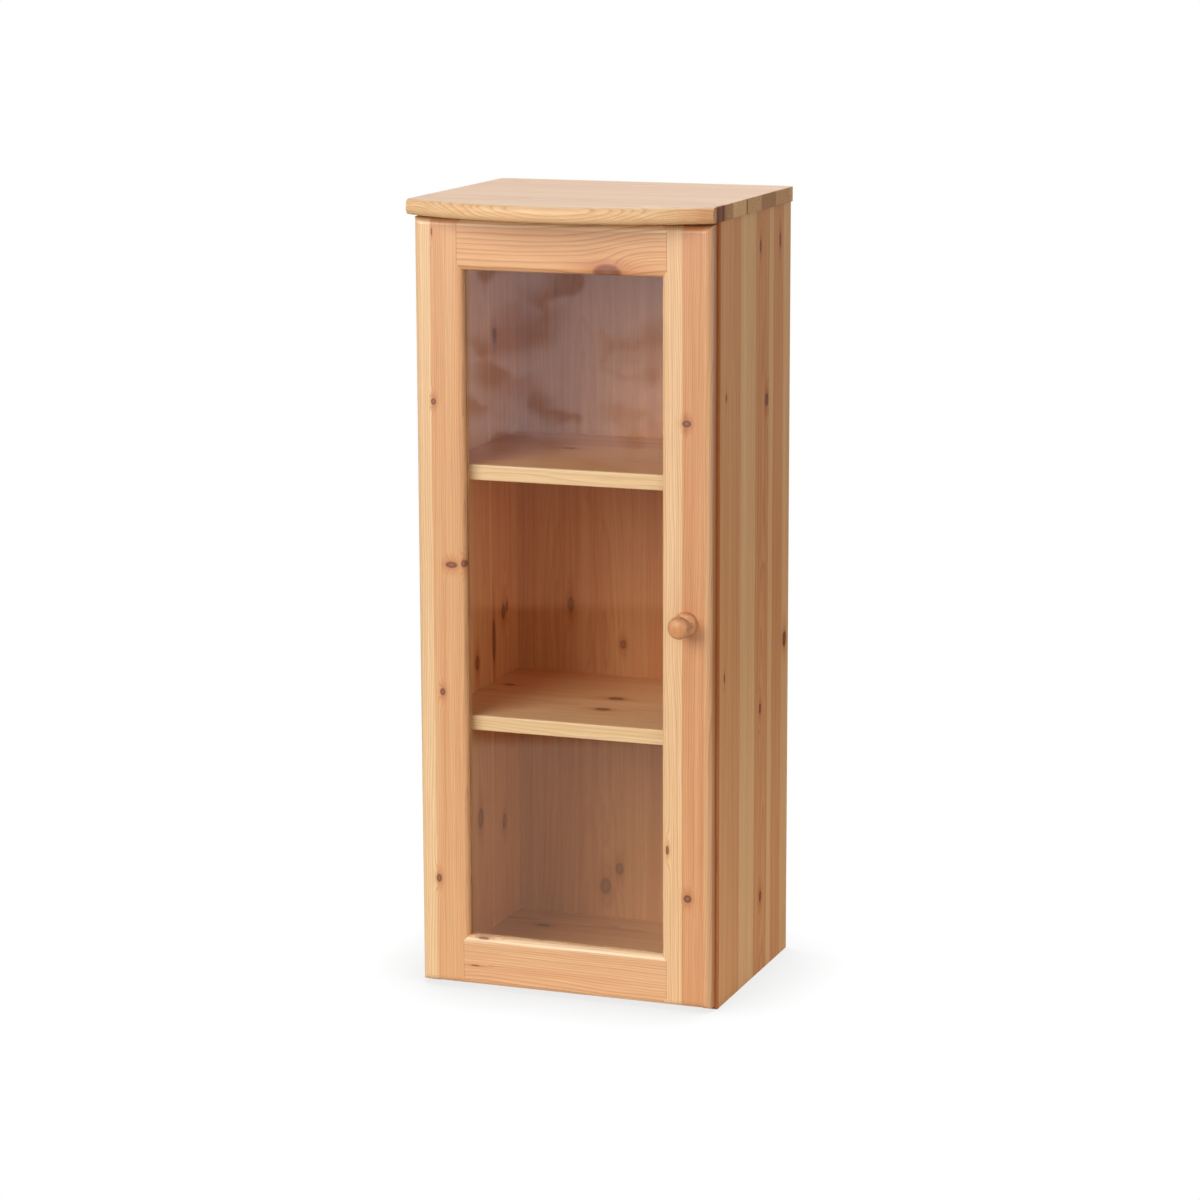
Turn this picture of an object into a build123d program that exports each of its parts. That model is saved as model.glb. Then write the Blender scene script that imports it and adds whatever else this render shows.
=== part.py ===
from build123d import *
import os

# A wall cabinet of glued pine board with a bowed top, two shelves and one framed glass door.
# Lengths are millimetres. X runs to the right, Y to the back and Z up. The origin is the
# centre of the carcass's underside.

# Carcass boards
carcass_width = 400.0
carcass_depth = 292.0
carcass_height = 1000.0
side_thickness = 20.0
bottom_thickness = 20.0
back_thickness = 8.0
back_rebate_width = 10.0
back_side_gap = 0.5
board_easing = 1.5
cut_overrun = 1.0

# Top board: a bowed, rounded front edge between plain eased ends
top_thickness = 20.0
top_side_overhang = 2.0
top_front_reach = 88.0
bow_radius = 387.0
nose_radius = 8.0
end_easing = 1.5

# Shelves, each lying on four supports
upper_shelf_top = 683.5
lower_shelf_top = 358.0
shelf_thickness = 20.0
shelf_setback = 2.5
shelf_side_gap = 0.5
shelf_easing = 2.0
support_peg_radius = 2.5
support_peg_length = 9.0
support_collar_radius = 4.0
support_collar_thickness = 1.2
support_tongue_length = 11.0
support_tongue_width = 8.0
support_tongue_thickness = 2.0
support_front_inset = 45.0
support_back_inset = 45.0

# Hanging rail behind the top of the opening, with two holes for the wall screws
rail_height = 50.0
rail_thickness = 20.0
wall_hole_radius = 3.5
wall_hole_spacing = 280.0
wall_hole_drop = 28.0

# Door frame
door_side_reveal = 3.0
door_top_gap = 3.0
door_bottom_gap = 5.0
door_gap = 1.0
door_thickness = 20.0
member_width = 65.0
outer_round = 9.0
inner_round = 7.0
lip_thickness = 10.5
rebate_width = 10.0
glass_thickness = 4.0
glass_edge_gap = 1.5
bead_round = 2.0

# Hinges: two five-knuckle butts let into the door and the left side
hinge_height = 60.0
hinge_end_inset = 95.0
pin_inset = 1.0
pin_radius = 1.5
pin_clearance = 0.05
knuckle_radius = 2.75
knuckle_count = 5
knuckle_gap = 0.3
leaf_width = 17.0
leaf_thickness = 1.1
leaf_gap = 0.2
leaf_screw_offset = 11.0
leaf_screw_end_inset = 10.0
leaf_screw_count = 3

# Dowels, screws and nails
dowel_radius = 4.0
wood_fit = 0.05
dowel_end_gap = 1.0
dowel_deep = 20.0
dowel_shallow = 10.0
board_dowel_inset = 40.0
board_dowel_count = 3
rail_dowel_spacing = 25.0
door_dowel_spacing = 24.0
door_dowel_depth = 20.0
screw_radius = 1.5
screw_head_radius = 2.8
screw_length = 15.0
nail_radius = 0.8
nail_head_radius = 1.8
nail_head_thickness = 0.6
nail_length = 22.0
nail_end_inset = 50.0
side_nail_count = 7
cross_nail_count = 3
cross_nail_span = 220.0
top_nail_drop = 10.0
brad_radius = 0.6
brad_length = 16.0
brad_end_inset = 60.0
long_bead_brad_count = 4
short_bead_brad_count = 2

# Turned knob and the screw that holds it
knob_height = 502.0
knob_base_radius = 15.5
knob_base_edge = 2.0
knob_neck_radius = 6.5
knob_neck_at = 13.0
knob_head_radius = 14.4
knob_head_at = 26.0
knob_length = 38.0
knob_screw_radius = 2.0
knob_screw_depth = 18.0
knob_screw_head_radius = 4.0
knob_screw_head_height = 2.2

# Magnetic catch under the top board, its strike plate, and the bumpers on the right side
catch_sight_inset = 32.0
catch_body_width = 30.0
catch_ear_width = 8.0
catch_ear_thickness = 4.0
catch_height = 18.0
catch_depth = 18.0
catch_wall = 3.0
magnet_thickness = 5.0
plate_thickness = 1.5
plate_proud = 2.0
catch_running_gap = 0.3
catch_screw_length = 14.0
strike_width = 38.0
strike_height = 12.0
strike_thickness = 1.0
strike_screw_spacing = 28.0
strike_screw_radius = 1.2
strike_screw_length = 12.0
bumper_radius = 4.0
bumper_thickness = 0.7
bumper_end_inset = 40.0

# Planes that several pieces share
half_width = carcass_width / 2
inner_half = half_width - side_thickness
front_y = -carcass_depth / 2
back_y = carcass_depth / 2
panel_front_y = back_y - back_thickness
rail_front_y = panel_front_y - rail_thickness
rail_bottom_z = carcass_height - rail_height

door_half = half_width - door_side_reveal
door_bottom_z = door_bottom_gap
door_top_z = carcass_height - door_top_gap
door_back_y = front_y - door_gap
door_front_y = door_back_y - door_thickness
lip_back_y = door_front_y + lip_thickness
glass_back_y = lip_back_y + glass_thickness
sight_half = door_half - member_width
sight_bottom_z = door_bottom_z + member_width
sight_top_z = door_top_z - member_width
bed_half = sight_half + rebate_width
bed_bottom_z = sight_bottom_z - rebate_width
bed_top_z = sight_top_z + rebate_width

pin_x = -half_width + pin_inset
pin_y = front_y - door_gap / 2
hinge_levels = (door_bottom_z + hinge_end_inset, door_top_z - hinge_end_inset)
knob_x = door_half - member_width / 2
catch_x = sight_half - catch_sight_inset


def block(x, y, z):
    """A box between the low and high bounds given for each axis."""
    low = Vector(x[0], y[0], z[0])
    size = Vector(x[1], y[1], z[1]) - low
    return Pos(low) * Box(size.X, size.Y, size.Z, align=(Align.MIN, Align.MIN, Align.MIN))


def rod(radius, start, end):
    """A round bar from one point to another."""
    run = Vector(end) - Vector(start)
    bar = Cylinder(radius, run.length, align=(Align.CENTER, Align.CENTER, Align.MIN))
    return Plane(origin=start, z_dir=run) * bar


def rods(sites, direction, radius, behind, ahead):
    """Equal round bars, each reaching behind and ahead of its site along the direction."""
    step = Vector(direction)
    return [rod(radius, Vector(site) - step * behind, Vector(site) + step * ahead) for site in sites]


def screw(site, direction, radius, length, head_radius, head_height):
    """A countersunk screw: its flat head is flush at the site, its shank runs along the direction."""
    head = Cone(head_radius, radius, head_height, align=(Align.CENTER, Align.CENTER, Align.MIN))
    tip = Vector(site) + Vector(direction) * length
    neck = Vector(site) + Vector(direction) * head_height / 2
    return Plane(origin=site, z_dir=direction) * head + rod(radius, neck, tip)


def spread(low, high, count):
    """Evenly spaced values from low to high."""
    return [low + (high - low) * i / (count - 1) for i in range(count)]


def edges_at(shape, along, **place):
    """The straight edges parallel to an axis whose middle is at the given coordinates."""
    found = shape.edges().filter_by(along)
    for name, value in place.items():
        found = [e for e in found if abs(getattr(e.center(), name) - value) < 1e-3]
    return found


# Fastener sites

board_dowel_rows = spread(
    front_y + board_dowel_inset, panel_front_y - board_dowel_inset, board_dowel_count
)
rail_dowel_rows = [carcass_height - rail_height / 2 + s * rail_dowel_spacing / 2 for s in (-1, 1)]
nail_columns = half_width - side_thickness + back_rebate_width / 2
cross_nail_rows = spread(-cross_nail_span / 2, cross_nail_span / 2, cross_nail_count)
bottom_nail_z = bottom_thickness / 2
top_nail_z = carcass_height - top_nail_drop


def top_dowels(side, fit=0.0, end=0.0):
    """Dowels that stand in a side board's upper end and enter the top board."""
    x = side * (half_width - side_thickness / 2)
    sites = [(x, y, carcass_height) for y in board_dowel_rows]
    return rods(sites, (0, 0, 1), dowel_radius + fit, dowel_deep + end, dowel_shallow + end)


def bottom_dowels(side, fit=0.0, end=0.0):
    """Dowels between a side board and the end of the bottom board."""
    sites = [(side * inner_half, y, bottom_thickness / 2) for y in board_dowel_rows]
    return rods(sites, (side, 0, 0), dowel_radius + fit, dowel_deep + end, dowel_shallow + end)


def rail_dowels(side, fit=0.0, end=0.0):
    """Dowels between a side board and the end of the hanging rail."""
    y = (rail_front_y + panel_front_y) / 2
    sites = [(side * inner_half, y, z) for z in rail_dowel_rows]
    return rods(sites, (side, 0, 0), dowel_radius + fit, dowel_deep + end, dowel_shallow + end)


def door_dowels(side, fit=0.0, end=0.0):
    """Dowels across the two corner joints of one stile."""
    x = side * (sight_half + rebate_width / 2)
    y = (door_front_y + door_back_y) / 2
    reach = (member_width - rebate_width) / 2
    middles = (door_bottom_z + reach, door_top_z - reach)
    sites = [(x, y, z + s * door_dowel_spacing / 2) for z in middles for s in (-1, 1)]
    return rods(sites, (side, 0, 0), dowel_radius + fit, door_dowel_depth + end, door_dowel_depth + end)


def nail(x, z, fit=0.0):
    """A back-panel nail, driven forwards with its head flush in the panel's rear face."""
    head = rod(nail_head_radius + fit, (x, back_y, z), (x, back_y - nail_head_thickness, z))
    return head + rod(nail_radius + fit, (x, back_y, z), (x, back_y - nail_length - fit, z))


def side_nails(side, fit=0.0):
    rows = spread(nail_end_inset, carcass_height - nail_end_inset, side_nail_count)
    return [nail(side * nail_columns, z, fit) for z in rows]


def cross_nails(level, fit=0.0):
    return [nail(x, level, fit) for x in cross_nail_rows]


def hinge_screws(level, into, fit=0.0):
    """The screws of one leaf, into the side board (1) or into the door (-1)."""
    reach = hinge_height / 2 - leaf_screw_end_inset
    head_y = pin_y + into * leaf_gap / 2
    return [
        screw((pin_x + leaf_screw_offset, head_y, z), (0, into, 0), screw_radius + fit,
              screw_length + fit, screw_head_radius + fit, leaf_thickness)
        for z in spread(level - reach, level + reach, leaf_screw_count)
    ]


def wall_holes():
    """Holes through the hanging rail and the back panel for the two wall screws."""
    z = carcass_height - wall_hole_drop
    sites = [(s * wall_hole_spacing / 2, panel_front_y, z) for s in (-1, 1)]
    behind, ahead = rail_thickness + cut_overrun, back_thickness + cut_overrun
    return rods(sites, (0, 1, 0), wall_hole_radius, behind, ahead)


# Shelf supports

def support_sites(shelf_top):
    """Where the pegs of one shelf's four supports enter the side boards."""
    z = shelf_top - shelf_thickness - support_peg_radius
    rows = (front_y + shelf_setback + support_front_inset, panel_front_y - support_back_inset)
    return [(side, (side * inner_half, y, z)) for side in (-1, 1) for y in rows]


def support_bores(shelf_top, side):
    """The blind holes that one side board has for a shelf's supports."""
    sites = [site for at, site in support_sites(shelf_top) if at == side]
    reach = support_peg_length + dowel_end_gap
    return rods(sites, (side, 0, 0), support_peg_radius + wood_fit, cut_overrun, reach)


def shelf_supports(shelf_top):
    """Steel supports: a peg in the side board, a collar on its face and a tongue under the shelf."""
    pieces = []
    for side, site in support_sites(shelf_top):
        x, y, z = site
        peg = rod(support_peg_radius, (x + side * support_peg_length, y, z), (x, y, z))
        collar_end = x - side * support_collar_thickness
        collar = rod(support_collar_radius, (x, y, z), (collar_end, y, z))
        under = shelf_top - shelf_thickness
        collar &= block((-half_width, half_width), (front_y, back_y), (z - carcass_height, under))
        reach = sorted((x, x - side * support_tongue_length))
        half = support_tongue_width / 2
        tongue = block(reach, (y - half, y + half), (under - support_tongue_thickness, under))
        pieces.append(peg + collar + tongue)
    return pieces


# Carcass boards

def side_board(side):
    """A side: a plain board with a rebate for the back panel and blind holes for what it carries."""
    reach = sorted((side * inner_half, side * half_width))
    board = block(reach, (front_y, back_y), (0, carcass_height))
    front_edges = edges_at(board, Axis.Z, Y=front_y)
    back_edge = edges_at(board, Axis.Z, X=side * half_width, Y=back_y)
    board = fillet(front_edges + back_edge, board_easing)
    rebate = sorted((side * (inner_half - cut_overrun), side * (inner_half + back_rebate_width)))
    heights = (-cut_overrun, carcass_height + cut_overrun)
    board -= block(rebate, (panel_front_y, back_y + cut_overrun), heights)
    board -= top_dowels(side, wood_fit, dowel_end_gap)
    board -= bottom_dowels(side, wood_fit, dowel_end_gap)
    board -= rail_dowels(side, wood_fit, dowel_end_gap)
    board -= side_nails(side, wood_fit)
    for shelf_top in (upper_shelf_top, lower_shelf_top):
        board -= support_bores(shelf_top, side)
    if side < 0:
        for level in hinge_levels:
            board -= leaf_recess(level, 1)
            board -= hinge_screws(level, 1, wood_fit)
    return board


def top_board():
    """The top: a disc with a rounded rim gives the bowed front, trimmed to the ends and the back."""
    end_x = half_width + top_side_overhang
    bow_y = front_y - top_front_reach + bow_radius
    disc = Cylinder(bow_radius, top_thickness, align=(Align.CENTER, Align.CENTER, Align.MIN))
    disc = Pos(0, bow_y, carcass_height) * fillet(disc.edges().filter_by(GeomType.CIRCLE), nose_radius)
    reach = (front_y - 2 * top_front_reach, back_y)
    plank = block((-end_x, end_x), reach, (carcass_height, carcass_height + top_thickness))
    board = fillet(plank.edges().filter_by(Axis.Y), end_easing) & disc
    for side in (-1, 1):
        board -= top_dowels(side, wood_fit, dowel_end_gap)
    board -= catch_screws(wood_fit)
    return board


def bottom_board():
    board = block((-inner_half, inner_half), (front_y, panel_front_y), (0, bottom_thickness))
    board = fillet(edges_at(board, Axis.X, Y=front_y), board_easing)
    for side in (-1, 1):
        board -= bottom_dowels(side, wood_fit, dowel_end_gap)
    return board - cross_nails(bottom_nail_z, wood_fit)


def back_panel():
    """A thin pine panel lying in the sides' rebates, nailed from behind."""
    half = inner_half + back_rebate_width - back_side_gap
    panel = block((-half, half), (panel_front_y, back_y), (0, carcass_height))
    for side in (-1, 1):
        panel -= side_nails(side, wood_fit)
    for level in (bottom_nail_z, top_nail_z):
        panel -= cross_nails(level, wood_fit)
    return panel - wall_holes()


def hanging_rail():
    """A rail dowelled between the sides, under the top board and against the back panel."""
    reach = (rail_bottom_z, carcass_height)
    rail = block((-inner_half, inner_half), (rail_front_y, panel_front_y), reach)
    rail = fillet(edges_at(rail, Axis.X, Y=rail_front_y, Z=rail_bottom_z), board_easing)
    for side in (-1, 1):
        rail -= rail_dowels(side, wood_fit, dowel_end_gap)
    return rail - cross_nails(top_nail_z, wood_fit) - wall_holes()


def shelf(shelf_top):
    """A loose shelf with eased front edges, lying on its four supports."""
    half = inner_half - shelf_side_gap
    shelf_front_y = front_y + shelf_setback
    heights = (shelf_top - shelf_thickness, shelf_top)
    board = block((-half, half), (shelf_front_y, panel_front_y), heights)
    return fillet(edges_at(board, Axis.X, Y=shelf_front_y), shelf_easing)


# Hinges

def leaf_recess(level, into):
    """Room for a leaf and the knuckles, in the side board (1) or in the door (-1)."""
    half = hinge_height / 2 + knuckle_gap
    heights = (level - half, level + half)
    floor_y = pin_y + into * (leaf_gap / 2 + leaf_thickness)
    reach = (pin_x - knuckle_radius, pin_x + leaf_width + knuckle_gap)
    leaf_bed = block(reach, sorted((pin_y, floor_y)), heights)
    barrel = rod(knuckle_radius + knuckle_gap, (pin_x, pin_y, heights[0]), (pin_x, pin_y, heights[1]))
    return [leaf_bed, barrel]


def hinge_leaf(level, into):
    """A leaf with its knuckles: first and last on the side board's (1), the rest on the door's (-1)."""
    low = level - hinge_height / 2
    pitch = hinge_height / knuckle_count
    faces = sorted((pin_y + into * leaf_gap / 2, pin_y + into * (leaf_gap / 2 + leaf_thickness)))
    plate_start = pin_x + knuckle_radius + knuckle_gap
    leaf = block((plate_start, pin_x + leaf_width), faces, (low, low + hinge_height))
    leaf = fillet(edges_at(leaf, Axis.Y, X=pin_x + leaf_width), board_easing)
    first = 0 if into > 0 else 1
    for i in range(first, knuckle_count, 2):
        start = low + i * pitch + (knuckle_gap / 2 if i > 0 else 0)
        end = low + (i + 1) * pitch - (knuckle_gap / 2 if i < knuckle_count - 1 else 0)
        leaf += rod(knuckle_radius, (pin_x, pin_y, start), (pin_x, pin_y, end))
        leaf += block((pin_x, plate_start), faces, (start, end))
    bore = pin_radius if into > 0 else pin_radius + pin_clearance
    ends = (low - cut_overrun, low + hinge_height + cut_overrun)
    leaf -= rod(bore, (pin_x, pin_y, ends[0]), (pin_x, pin_y, ends[1]))
    return leaf - hinge_screws(level, into)


def hinge_pin(level):
    """A pin as long as the barrel, tight in the side leaf's knuckles and free in the door leaf's."""
    half = hinge_height / 2
    return rod(pin_radius, (pin_x, pin_y, level - half), (pin_x, pin_y, level + half))


# Door frame

door_blank = block((-door_half, door_half), (door_front_y, door_back_y), (door_bottom_z, door_top_z))
door_blank = fillet(door_blank.faces().sort_by(Axis.Y)[0].edges(), outer_round)


def stile(side):
    """A stile over the door's full height: rounded inner edge in front, glass rebate behind."""
    reach = sorted((side * sight_half, side * door_half))
    bar = block(reach, (door_front_y, door_back_y), (door_bottom_z, door_top_z))
    bar = fillet(edges_at(bar, Axis.Z, X=side * sight_half, Y=door_front_y), inner_round)
    rebate = sorted((side * (sight_half - cut_overrun), side * bed_half))
    heights = (door_bottom_z - cut_overrun, door_top_z + cut_overrun)
    bar -= block(rebate, (lip_back_y, door_back_y + cut_overrun), heights)
    return bar & door_blank


def rail(upper, stiles):
    """A rail between the stiles, its ends coped to their rounding and filling their rebates."""
    inner_z, outer_z = (sight_top_z, door_top_z) if upper else (sight_bottom_z, door_bottom_z)
    away = 1 if upper else -1
    bar = block((-bed_half, bed_half), (door_front_y, door_back_y), sorted((inner_z, outer_z)))
    bar = fillet(edges_at(bar, Axis.X, Z=inner_z, Y=door_front_y), inner_round)
    rebate = sorted((inner_z - away * cut_overrun, inner_z + away * rebate_width))
    bar -= block((-door_half, door_half), (lip_back_y, door_back_y + cut_overrun), rebate)
    bar &= door_blank
    for post in stiles:
        bar -= post
    return bar


def bored(member, *groups):
    """A frame member with the holes of the given fasteners."""
    for group in groups:
        member -= group
    return member


def glass_pane():
    """The pane lies in the rebates, behind the lips and in front of the beads."""
    half = bed_half - glass_edge_gap
    heights = (bed_bottom_z + glass_edge_gap, bed_top_z - glass_edge_gap)
    return block((-half, half), (lip_back_y, glass_back_y), heights)


def bead(corners):
    """A mitred glazing bead: wall edge first, then the sight edge, whose rear arris is rounded."""
    outline = Polyline([(x, glass_back_y, z) for x, z in corners], close=True)
    strip = extrude(make_face(outline), door_back_y - glass_back_y, dir=(0, 1, 0))
    (x0, z0), (x1, z1) = corners[2:]
    sight = Vector((x0 + x1) / 2, door_back_y, (z0 + z1) / 2)
    rear = [e for e in strip.edges() if (e.center() - sight).length < 1e-3]
    return fillet(rear, bead_round)


def beads():
    """The four beads, named by their place, each as wall corners and then sight corners."""
    wall = [
        (-bed_half, bed_bottom_z), (-bed_half, bed_top_z),
        (bed_half, bed_top_z), (bed_half, bed_bottom_z),
    ]
    sight = [
        (-sight_half, sight_bottom_z), (-sight_half, sight_top_z),
        (sight_half, sight_top_z), (sight_half, sight_bottom_z),
    ]
    places = ("left", "top", "right", "bottom")
    return {
        place: bead([wall[i], wall[(i + 1) % 4], sight[(i + 1) % 4], sight[i]])
        for i, place in enumerate(places)
    }


def brads(place, fit=0.0):
    """Headless pins driven from a bead's sight edge into the frame member behind it."""
    y = (glass_back_y + door_back_y) / 2
    if place in ("left", "right"):
        side = -1 if place == "left" else 1
        reach = (sight_bottom_z + brad_end_inset, sight_top_z - brad_end_inset)
        sites = [(side * sight_half, y, z) for z in spread(*reach, long_bead_brad_count)]
        return rods(sites, (side, 0, 0), brad_radius + fit, fit, brad_length + fit)
    away = 1 if place == "top" else -1
    level = sight_top_z if place == "top" else sight_bottom_z
    rows = spread(-sight_half + brad_end_inset, sight_half - brad_end_inset, short_bead_brad_count)
    return rods([(x, y, level) for x in rows], (0, 0, away), brad_radius + fit, fit, brad_length + fit)


# Knob

def knob():
    """A turned knob: broad foot, narrow neck and domed head, bored for its screw."""
    foot = Polyline(
        (0, -knob_base_edge), (0, 0), (knob_base_radius, 0), (knob_base_radius, -knob_base_edge)
    )
    side = Spline(
        (knob_base_radius, -knob_base_edge), (knob_neck_radius, -knob_neck_at),
        (knob_head_radius, -knob_head_at), (0, -knob_length),
        tangents=[(0, -1), (0, -1), (0, -1), (-1, 0)],
    )
    core = Line((0, -knob_length), (0, -knob_base_edge))
    body = revolve(make_face([foot, side, core]), Axis.Y)
    body = Pos(knob_x, door_front_y, knob_height) * body
    return body - knob_screw(wood_fit)


def knob_screw(fit=0.0):
    """A round-headed screw through the stile into the knob; its head bears on the stile's back."""
    face = (knob_x, door_back_y, knob_height)
    tip = (knob_x, door_front_y - knob_screw_depth - fit, knob_height)
    shank = rod(knob_screw_radius + fit, face, tip)
    crown = (knob_x, door_back_y + knob_screw_head_height, knob_height)
    return shank + rod(knob_screw_head_radius, face, crown)


# Catch

catch_top_z = carcass_height
catch_bottom_z = carcass_height - catch_height
strike_back_y = door_back_y + strike_thickness
plate_front_y = strike_back_y + catch_running_gap
catch_front_y = plate_front_y + plate_proud
catch_back_y = catch_front_y + catch_depth
strike_z = (catch_bottom_z + catch_top_z - catch_ear_thickness) / 2


def catch_core(width, height, y0, y1, x_shift=0.0):
    """A block centred on the catch's working face."""
    x = catch_x + x_shift
    heights = (strike_z - height / 2, strike_z + height / 2)
    return block((x - width / 2, x + width / 2), (y0, y1), heights)


def pack_height():
    return catch_height - catch_ear_thickness - 2 * catch_wall


def catch_pack(width, y0, y1, x_shift=0.0):
    return catch_core(width, pack_height(), y0, y1, x_shift)


def catch_housing():
    """A moulded body with two screw ears, open in front for the magnet and its plates."""
    body_x = (catch_x - catch_body_width / 2, catch_x + catch_body_width / 2)
    ears_x = (body_x[0] - catch_ear_width, body_x[1] + catch_ear_width)
    body = block(body_x, (catch_front_y, catch_back_y), (catch_bottom_z, catch_top_z))
    body = fillet(body.edges().filter_by(Axis.Y).sort_by(Axis.Z)[:2], board_easing)
    ears_z = (catch_top_z - catch_ear_thickness, catch_top_z)
    body += block(ears_x, (catch_front_y, catch_back_y), ears_z)
    pocket_width = magnet_thickness + 2 * plate_thickness
    body -= catch_pack(pocket_width, catch_front_y - cut_overrun, catch_back_y - catch_wall)
    return bored(body, catch_screws(wood_fit))


def catch_magnet():
    return catch_pack(magnet_thickness, catch_front_y, catch_back_y - catch_wall)


def catch_plates():
    """Two steel pole plates, standing proud of the magnet between them."""
    shift = (magnet_thickness + plate_thickness) / 2
    return [
        catch_pack(plate_thickness, plate_front_y, catch_back_y - catch_wall, side * shift)
        for side in (-1, 1)
    ]


def catch_screws(fit=0.0):
    """Screws up through the ears into the top board."""
    reach = (catch_body_width + catch_ear_width) / 2
    y = (catch_front_y + catch_back_y) / 2
    z = catch_top_z - catch_ear_thickness
    return [
        screw((catch_x + side * reach, y, z), (0, 0, 1), screw_radius + fit, catch_screw_length + fit,
              screw_head_radius + fit, screw_radius)
        for side in (-1, 1)
    ]


def strike_plate():
    """A steel plate on the back of the door's top rail, facing the catch."""
    plate = catch_core(strike_width, strike_height, door_back_y, strike_back_y)
    plate = fillet(plate.edges().filter_by(Axis.Y), board_easing)
    return bored(plate, strike_screws())


def strike_screws(fit=0.0):
    return [
        screw((catch_x + side * strike_screw_spacing / 2, strike_back_y, strike_z), (0, -1, 0),
              strike_screw_radius + fit, strike_screw_length + fit,
              strike_screw_radius + strike_thickness + fit, strike_thickness)
        for side in (-1, 1)
    ]


def door_bumpers():
    """Soft pads on the right side's front edge, just short of the closed door."""
    x = half_width - side_thickness / 2
    rows = (door_bottom_z + bumper_end_inset, door_top_z - bumper_end_inset)
    return rods([(x, front_y, z) for z in rows], (0, -1, 0), bumper_radius, 0, bumper_thickness)


def both(make):
    """A fastener group's pieces at the left and at the right."""
    return make(-1) + make(1)


# Everything, by node

left_post = stile(-1)
right_post = stile(1)
head = rail(True, (left_post, right_post))
foot = rail(False, (left_post, right_post))
strips = beads()
left_bores = door_dowels(-1, wood_fit, dowel_end_gap)
right_bores = door_dowels(1, wood_fit, dowel_end_gap)

for level in hinge_levels:
    left_post = bored(left_post, leaf_recess(level, -1), hinge_screws(level, -1, wood_fit))

cabinet = {
    "left_side": side_board(-1),
    "right_side": side_board(1),
    "top_board": top_board(),
    "bottom_board": bottom_board(),
    "back_panel": back_panel(),
    "hanging_rail": hanging_rail(),
    "shelf_upper": shelf(upper_shelf_top),
    "shelf_lower": shelf(lower_shelf_top),
    "shelf_supports_upper": shelf_supports(upper_shelf_top),
    "shelf_supports_lower": shelf_supports(lower_shelf_top),
    "top_dowels": both(top_dowels),
    "bottom_dowels": both(bottom_dowels),
    "rail_dowels": both(rail_dowels),
    "back_nails": both(side_nails) + cross_nails(bottom_nail_z) + cross_nails(top_nail_z),
    "side_leaf_lower": hinge_leaf(hinge_levels[0], 1),
    "side_leaf_upper": hinge_leaf(hinge_levels[1], 1),
    "hinge_pin_lower": hinge_pin(hinge_levels[0]),
    "hinge_pin_upper": hinge_pin(hinge_levels[1]),
    "side_leaf_screws": [s for level in hinge_levels for s in hinge_screws(level, 1)],
    "catch_housing": catch_housing(),
    "catch_magnet": catch_magnet(),
    "catch_plates": catch_plates(),
    "catch_screws": catch_screws(),
    "door_bumpers": door_bumpers(),
}

door = {
    "left_stile": bored(left_post, left_bores, brads("left", wood_fit)),
    "right_stile": bored(right_post, right_bores, brads("right", wood_fit), knob_screw(wood_fit)),
    "top_rail": bored(head, left_bores, right_bores, brads("top", wood_fit), strike_screws(wood_fit)),
    "bottom_rail": bored(foot, left_bores, right_bores, brads("bottom", wood_fit)),
    "door_dowels": both(door_dowels),
    "glass_pane": glass_pane(),
    "glazing_brads": [b for place in strips for b in brads(place)],
    "door_leaf_lower": hinge_leaf(hinge_levels[0], -1),
    "door_leaf_upper": hinge_leaf(hinge_levels[1], -1),
    "door_leaf_screws": [s for level in hinge_levels for s in hinge_screws(level, -1)],
    "knob": knob(),
    "knob_screw": knob_screw(),
    "strike_plate": strike_plate(),
    "strike_screws": strike_screws(),
}
for place, strip in strips.items():
    door[f"bead_{place}"] = bored(strip, brads(place, wood_fit))

os.makedirs("parts", exist_ok=True)
for name, shape in {**cabinet, **door}.items():
    if isinstance(shape, list):
        shape = Compound(children=shape)
    export_step(shape, f"parts/{name}.step")
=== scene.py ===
from math import pi, radians

import bmesh
import bpy
from mathutils import Matrix, Vector


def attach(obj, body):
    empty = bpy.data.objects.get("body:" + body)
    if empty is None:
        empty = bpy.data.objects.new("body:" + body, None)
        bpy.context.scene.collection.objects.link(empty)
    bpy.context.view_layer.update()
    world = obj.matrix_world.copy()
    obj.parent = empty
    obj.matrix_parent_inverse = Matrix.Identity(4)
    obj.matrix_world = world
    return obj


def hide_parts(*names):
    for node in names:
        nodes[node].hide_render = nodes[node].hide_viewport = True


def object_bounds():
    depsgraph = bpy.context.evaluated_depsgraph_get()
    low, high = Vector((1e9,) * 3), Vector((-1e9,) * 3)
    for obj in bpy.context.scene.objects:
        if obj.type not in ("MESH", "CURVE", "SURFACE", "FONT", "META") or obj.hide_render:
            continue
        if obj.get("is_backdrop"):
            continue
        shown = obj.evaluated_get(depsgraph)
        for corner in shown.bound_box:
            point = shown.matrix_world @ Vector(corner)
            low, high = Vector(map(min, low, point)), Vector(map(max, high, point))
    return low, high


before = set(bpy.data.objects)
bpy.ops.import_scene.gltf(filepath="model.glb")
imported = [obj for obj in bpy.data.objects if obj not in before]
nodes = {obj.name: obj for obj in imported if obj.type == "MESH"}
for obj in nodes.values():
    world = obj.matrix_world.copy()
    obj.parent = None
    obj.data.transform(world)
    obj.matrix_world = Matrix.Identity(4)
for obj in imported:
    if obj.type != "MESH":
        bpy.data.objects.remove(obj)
cad_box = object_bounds()
scene = bpy.context.scene
scene.view_settings.view_transform = "Standard"


# Camera. It stands to the right of the cabinet, a little above its top, and looks slightly
# down on it. A long lens keeps the uprights nearly parallel.

camera_place = Vector((1.621, -4.419, 1.433))
camera_yaw, camera_pitch, camera_roll = radians(20.27), radians(11.33), radians(-0.19)

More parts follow.
